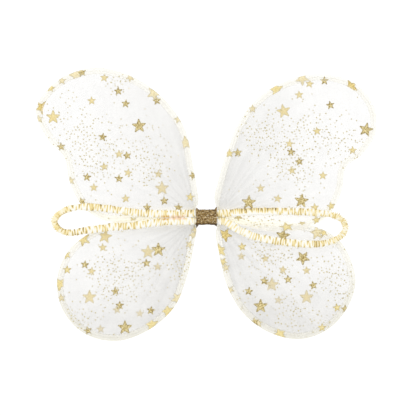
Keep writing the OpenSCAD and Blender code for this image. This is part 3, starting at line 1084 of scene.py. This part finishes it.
def sleeve_skin(line, out, height, s, c, t, groove, free, wander, seed):
    """Points of a gathered sleeve's skin round its line."""
    away = np.abs(line[:, :1]) / MM
    plump = 1 + 0.035 * wander(s * 0.6)
    taper = rising(np.minimum(s, s.max() - s), 0, 7 * MM) ** 0.7
    half_w = SLEEVE_HALF[0] * plump * (0.80 + 0.20 * taper)
    half_h = SLEEVE_HALF[1] * plump * (0.72 + 0.28 * taper)
    frill = Ripple(seed + 6, 1.6 * MM, 2.8 * MM, 9)
    edge = rising(np.abs(c), 0.6, 0.4)
    ruffle = 1 + 0.062 * (1 + 1.4 * free) * edge * frill(s + 0.8 * MM * np.sign(c))
    u = half_w * boxy(c, 0.85) * (1 - groove * (0.05 + 0.22 * np.abs(c))) * ruffle
    # Towards its free end the loop turns over, so its inner side looks narrower.
    u *= 1 - np.where(c < 0, 0.34, 0.06) * rising(away, away.max() - 45, 30)
    v = half_h * boxy(np.sin(t), 0.85) * (1 - 0.42 * groove)
    return np.column_stack([beside(line, out, u), (height + v).ravel()])


def ruched_sleeve(side, seed):
    """A tube of printed net gathered on its elastic, out and back round an arm loop."""
    key = SIDES[side]
    line, out, height = loop_line(side)
    rings, around = len(line), 33
    along = distances(line)
    s, t = np.meshgrid(along, np.linspace(-np.pi / 2, 1.5 * np.pi, around), indexing="ij")
    c = np.cos(t)
    groove, stain = creases(key, line, along, s, c, seed)
    below, _ = creases(key, line, along, s, c, seed + 50)
    on_top = rising(0.5 + 1.5 * np.sin(t))
    groove = groove * on_top + below * (1 - on_top)
    away = np.abs(line[:, :1]) / MM
    free = rising(away, away.max() - 24, 12)
    wander = Ripple(seed + 2, 7 * MM, 18 * MM, 6)
    cream = (0.21 if side < 0 else 0.10) * free * (1 + 0.3 * wander(s)) * (0.7 + 0.3 * c)
    stain = rising(stain * rising(0.75 + on_top) + cream)
    points = sleeve_skin(line, out, height, s, c, t, groove, free, wander, seed)
    for dot in STRAP_DOTS[key]:
        past = norm(points[:, :2] - np.array(dot) * MM).reshape(s.shape)
        stain = np.maximum(stain, 0.62 * bell(past, 0.95 * MM, 4) * on_top)
    # Gold foil print, then a rosy tone, where the two left runs lie side by side near the band;
    # the rosy tone stands partly for the hems between the runs and partly for painted shadow from the
    # straps.
    inner_edge = rising(-c * 2.6 - np.where(s < along[-1] / 2, 0.6, 0.5)) * (side < 0)
    uneven = inner_edge * rising(on_top + 0.4) * (0.85 + 0.3 * wander(s * 3))
    obj = mesh_object(
        f"ruched_sleeve_{key}", points, grid_faces(rings, around, False, False), [SLEEVE],
        stain=stain, golden=rising(uneven * bell(away - 55, 5.5)),
        rosy=np.clip(uneven * bell(away - 38, 10, 4), 0, 0.9))
    enter(obj, node=f"sleeve_{key}")
    bend_with(obj, side, height, LOOP_BENT)


def elastic_strip(side):
    """The flat ribbed elastic inside a sleeve."""
    key = SIDES[side]
    line, out, height = loop_line(side)
    line, out = line[6:-6:5], out[6:-6:5]
    rings, around = len(line), 12
    cos, sin = circle(around)
    rib = 1 + 0.12 * np.sin(np.arange(rings) * 2.1)[:, None]
    rise = height - 0.3 * MM + ELASTIC_HALF[1] * boxy(sin, 0.4) * rib
    plan = beside(line, out, ELASTIC_HALF[0] * boxy(cos, 0.3))
    obj = mesh_object(f"elastic_strip_{key}", np.column_stack([plan, rise.ravel()]),
                      tube_faces(rings, around), [ELASTIC])
    enter(obj, node=f"elastic_{key}")
    bend_with(obj, side, height, LOOP_BENT)


# ---------- the centre band ----------

# Frayed prongs of the ribbon's cut ends: (end, turn in degrees round X, width, reach in mm).
PRONGS = [(-1, 148, 9, 1.5), (-1, 35, 12, 0.7), (1, 70, 8, 1.5), (1, 104, 7, 1.3),
          (1, 25, 10, 0.8), (-1, 100, 10, 0.6), (1, 160, 9, 0.6), (-1, 250, 14, 0.8),
          (1, 290, 12, 0.9)]
RIBBON = 0.95 * MM  # how thick the wrapped ribbon is
FLAKES = 2600  # how many places for loose glitter are tried


def rounded_section(half, low, high, radius, count):
    """Evenly spaced [across, up] points round a rectangle with rounded corners."""
    corners = [(half - radius, high - radius, 0), (radius - half, high - radius, 90),
               (radius - half, low + radius, 180), (half - radius, low + radius, 270)]
    ring = np.array([(cx + radius * math.cos(math.radians(start + a)),
                      cz + radius * math.sin(math.radians(start + a)))
                     for cx, cz, start in corners for a in range(0, 91, 10)])
    return rounded_line(ring, lengths(joined(ring)).sum() / count, True)[:count]


def fray(x, angle):
    """How far the ribbon's cut end reaches out at each angle, in mm."""
    reach = 0.28 * np.sin(5 * angle + 2 * np.sign(x)) - 0.2
    for end, turn, width, length in PRONGS:
        if end * x > 0:
            gap = (np.degrees(angle) - turn + 180) % 360 - 180
            reach += length * bell(gap, width)
    return reach


def glitter_band():
    """Ribbon wrapped round the middle, its ends rolled and flared; returns its outer rings."""
    _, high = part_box("glitter_band")
    around, rings = 170, 96
    ends, half, top = high
    mid = rounded_section(half - 1.45 * MM, 0.15 * MM, top - 1.2 * MM, 4.2 * MM, around)
    out = unit(mid - np.array([0, (top - MM) / 2]))
    angle = np.arctan2(out[:, 1], out[:, 0])
    girth = np.arange(1, around + 1) * lengths(joined(mid)).sum() / around
    grit, crumple = Ripple(41, 0.8 * MM, 2.2 * MM, 40, 2), Ripple(42, 4 * MM, 11 * MM, 9, 2)
    # The ribbon's end laps over its start along the top.
    lap = 0.42 * MM / (1 + np.exp(-(mid[:, 0] + 0.4 * MM) / (0.10 * MM)))
    lap = np.where(mid[:, 1] > top * 0.6, lap, 0)
    rng = np.random.default_rng(43)
    outer, inner = [], []
    for x in np.linspace(-ends, ends, rings):
        near_end = rising(abs(x), ends - 3.6 * MM, 3.0 * MM)
        flare = near_end ** 1.2 * (0.40 + 3.1 * np.abs(out[:, 0]) ** 3) * MM
        flare *= 0.85 + 0.25 * np.sin(3 * angle + 1.7 * np.sign(x))
        pinch = -0.30 * MM * (1 - (x / ends) ** 2)
        skin = 0.11 * grit(x, girth) + 0.17 * crumple(x, girth) + rng.normal(0, 0.05, around)
        skin = np.maximum(skin, -0.22) * MM
        ring = mid + out * (flare + pinch + skin + lap)[:, None]
        ring[:, 1] = np.clip(ring[:, 1], 0.02 * MM, top + 0.35 * MM)
        shift = x + np.sign(x) * near_end ** 2 * fray(x, angle) * MM
        outer.append(np.column_stack([shift, ring]))
        inner.append(np.column_stack([shift, mid + out * (0.6 * flare - RIBBON)[:, None]]))
    lips = [(outer[i] + inner[i]) / 2 for i in (0, -1)]
    skins = lips[:1] + outer + lips[1:] + inner[::-1]
    points = np.vstack(skins)
    y = points[:, 1] / MM
    # Painted highlight along the middle line, painted shade along the bottom and at both edges.
    tone = 0.12 * bell(y + 0.4, 0.7) - 0.30 * (y < -7.6) - 0.12 * (np.abs(y) > 9.2)
    obj = mesh_object("glitter_ribbon_band", points, grid_faces(len(skins), around, True), [BAND],
                      tone=tone)
    enter(obj, "centre", "glitter_band")
    return np.array(outer)


def glitter_flakes(outer):
    """Coarse glitter: small six-sided flakes stuck on the ribbon at all angles."""
    rng = np.random.default_rng(77)
    rings, around = outer.shape[:2]
    sides, half_thick = 6, 0.04 * MM
    cos, sin = circle(sides)
    points, faces, tones = [], [], []
    for _ in range(FLAKES):
        i, k = rng.integers(1, rings - 1), rng.integers(0, around)
        p = outer[i, k]
        if p[2] < 1.0 * MM:
            continue
        along = outer[i + 1, k] - outer[i - 1, k]
        round_it = outer[i, (k + 1) % around] - outer[i, k - 1]
        normal = unit(np.cross(round_it, along))
        if normal @ (p - np.array([p[0], 0, 7 * MM])) < 0:
            normal = -normal
        tilt = unit(normal + rng.normal(0, 0.30, 3))
        u = unit(np.cross(tilt, [0.3, 0.5, 0.8]))
        w = np.cross(tilt, u)
        rim = rng.uniform(0.30, 0.72) * MM * (np.outer(cos, u) + np.outer(sin, w))
        top = [len(points) + j for j in range(sides)]
        low = [j + sides for j in top]
        for lift in (half_thick, -half_thick):
            points += list(p + normal * 0.12 * MM + rim + tilt * lift)
        faces += [top, low[::-1]]
        faces += [(top[j], top[j - 1], low[j - 1], low[j]) for j in range(sides)]
        y = p[1] / MM
        # Each flake's own random tone, plus a painted highlight along the middle line and painted
        # shade along the bottom.
        tone = rng.beta(1.6, 1.9) + 0.30 * bell(y + 0.4, 0.75) - 0.22 * (y < -8.0)
        tones += [rising(tone)] * (2 * sides)
    obj = mesh_object("glitter_flakes", points, faces, [FLAKE], smooth=False, tone=tones)
    enter(obj, "centre")


def pleated_plug(name, xs, half_y, low_z, high_z, seed, pleats, fade):
    """Bunched net: a closed lump running along X, with pleats in its skin, that fades out."""
    around = 120
    turn = np.linspace(0, TURN, around, endpoint=False)
    cos, sin = circle(around)
    wobble = Ripple(seed, 3 * MM, 9 * MM, 6)
    rings = []
    for x, half, low, high in zip(xs, half_y, low_z, high_z):
        pleat = 1 + 0.07 * np.sin(pleats * turn + 1.2 * wobble(x))
        pleat += 0.03 * np.sin(2.6 * pleats * turn + 3 * wobble(x))
        pleat = np.minimum(pleat, 1.08) / 1.08
        y = half * boxy(cos, 0.8) * pleat
        z = (low + high) / 2 + (high - low) / 2 * boxy(sin, 0.8) * pleat
        rings.append(np.column_stack([np.full(around, x), y, z]))
    faces = tube_faces(len(rings), around)
    if xs[-1] < xs[0]:
        faces = [f[::-1] for f in faces]
    none = np.zeros(len(rings) * around)
    # The bunched net takes some of the hem's painted shade.
    return mesh_object(name, np.vstack(rings), faces, [HEM], edge=none, wall=none,
                       shade=none + 0.3, lap=none, fade=np.repeat(fade, around))


def gathered_middle():
    """The core of bunched net inside the band."""
    low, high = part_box("gathered_middle")
    inset, flat = 0.5 * MM, np.ones(30)
    obj = pleated_plug("gathered_core", np.linspace(low.x, high.x, len(flat)),
                       flat * (high.y - inset), flat * low.z, flat * (high.z - inset), 5, 17,
                       0 * flat)
    enter(obj, "centre", "gathered_middle")


def neck_gather(side):
    """Net bunched between the band's mouth and a wing's lobes."""
    reach = np.linspace(0, 1, 22)
    xs = side * (12.6 + 12.5 * reach) * MM
    half_y = (8.4 + 3.2 * np.sin(reach * np.pi * 0.5)) * MM
    low_z, high_z = (1.6 - 0.9 * reach) * MM, (6.1 - 2.1 * reach ** 1.5) * MM
    obj = pleated_plug(f"neck_gather_{SIDES[side]}", xs, half_y, low_z, high_z, 8 + side, 15,
                       rising(reach, 0.25, 0.7))
    enter(obj)
    bend_with(obj, side, 3 * MM, NECK_BENT)


def kept_cad_nodes():
    """CAD pieces that stay as they are, shut inside the band, in their own materials."""
    kept = {"binding_thread": THREAD}
    for hand in SIDES.values():
        kept |= {f"wire_ends_{hand}": WIRE, f"elastic_ends_{hand}": ELASTIC}
    for name, material in kept.items():
        NODES[name].data.materials.clear()
        NODES[name].data.materials.append(material)


# ---------- building it all ----------

for place, key in enumerate(("lower_left", "lower_right", "upper_left", "upper_right")):
    build_lobe(key, 100 + 37 * place)
for side in SIDES:
    ruched_sleeve(side, 300 + side)
    elastic_strip(side)
    neck_gather(side)
glitter_flakes(glitter_band())
gathered_middle()
kept_cad_nodes()


# ---------- floor, light and camera ----------

def white_floor():
    """A pale floor, low enough that the folded wings stay clear of it."""
    half, clearance = 4.0, 12 * MM
    z = JOINTS["right_wing_fold"]["pos_m"][0] - cad_high.x - clearance
    pale = Look("pale_floor").surface({
        "Base Color": (0.30, 0.30, 0.30), "Roughness": 0.9, "Emission Color": WHITE,
        "Emission Strength": 0.77})
    corners = [(-half, -half, z), (half, -half, z), (half, half, z), (-half, half, z)]
    mesh_object("floor", corners, [(0, 1, 2, 3)], [pale], smooth=False)


def lights():
    """An even white sky and two large soft lamps aimed at the band."""
    world = bpy.data.worlds.new("studio")
    bpy.context.scene.world = world
    world.use_nodes = True
    sky = world.node_tree.nodes["Background"]
    sky.inputs["Color"].default_value = (*WHITE, 1)
    sky.inputs["Strength"].default_value = 0.86
    for name, spot, power in (("key", (-0.9, 1.1, 1.5), 11.0), ("fill", (1.2, -0.7, 1.6), 5.0)):
        data = bpy.data.lights.new(name, "AREA")
        data.size = 2.0
        data.energy = power
        lamp = add_object(name, data)
        lamp.location = spot
        lamp.rotation_euler = (-Vector(spot)).to_track_quat("-Z", "Y").to_euler()


def camera():
    """Straight above, far off, framing a width of 562 mm a little above and right of the band."""
    view_width, distance = 0.5616, 3.2
    data = bpy.data.cameras.new("camera")
    data.sensor_width = 36
    data.lens = data.sensor_width * distance / view_width
    data.clip_end = 20
    cam = add_object("camera", data)
    cam.location = (0.0020, 0.0124, distance)
    bpy.context.scene.camera = cam


white_floor()
lights()
camera()
bpy.context.scene.view_settings.view_transform = "Standard"
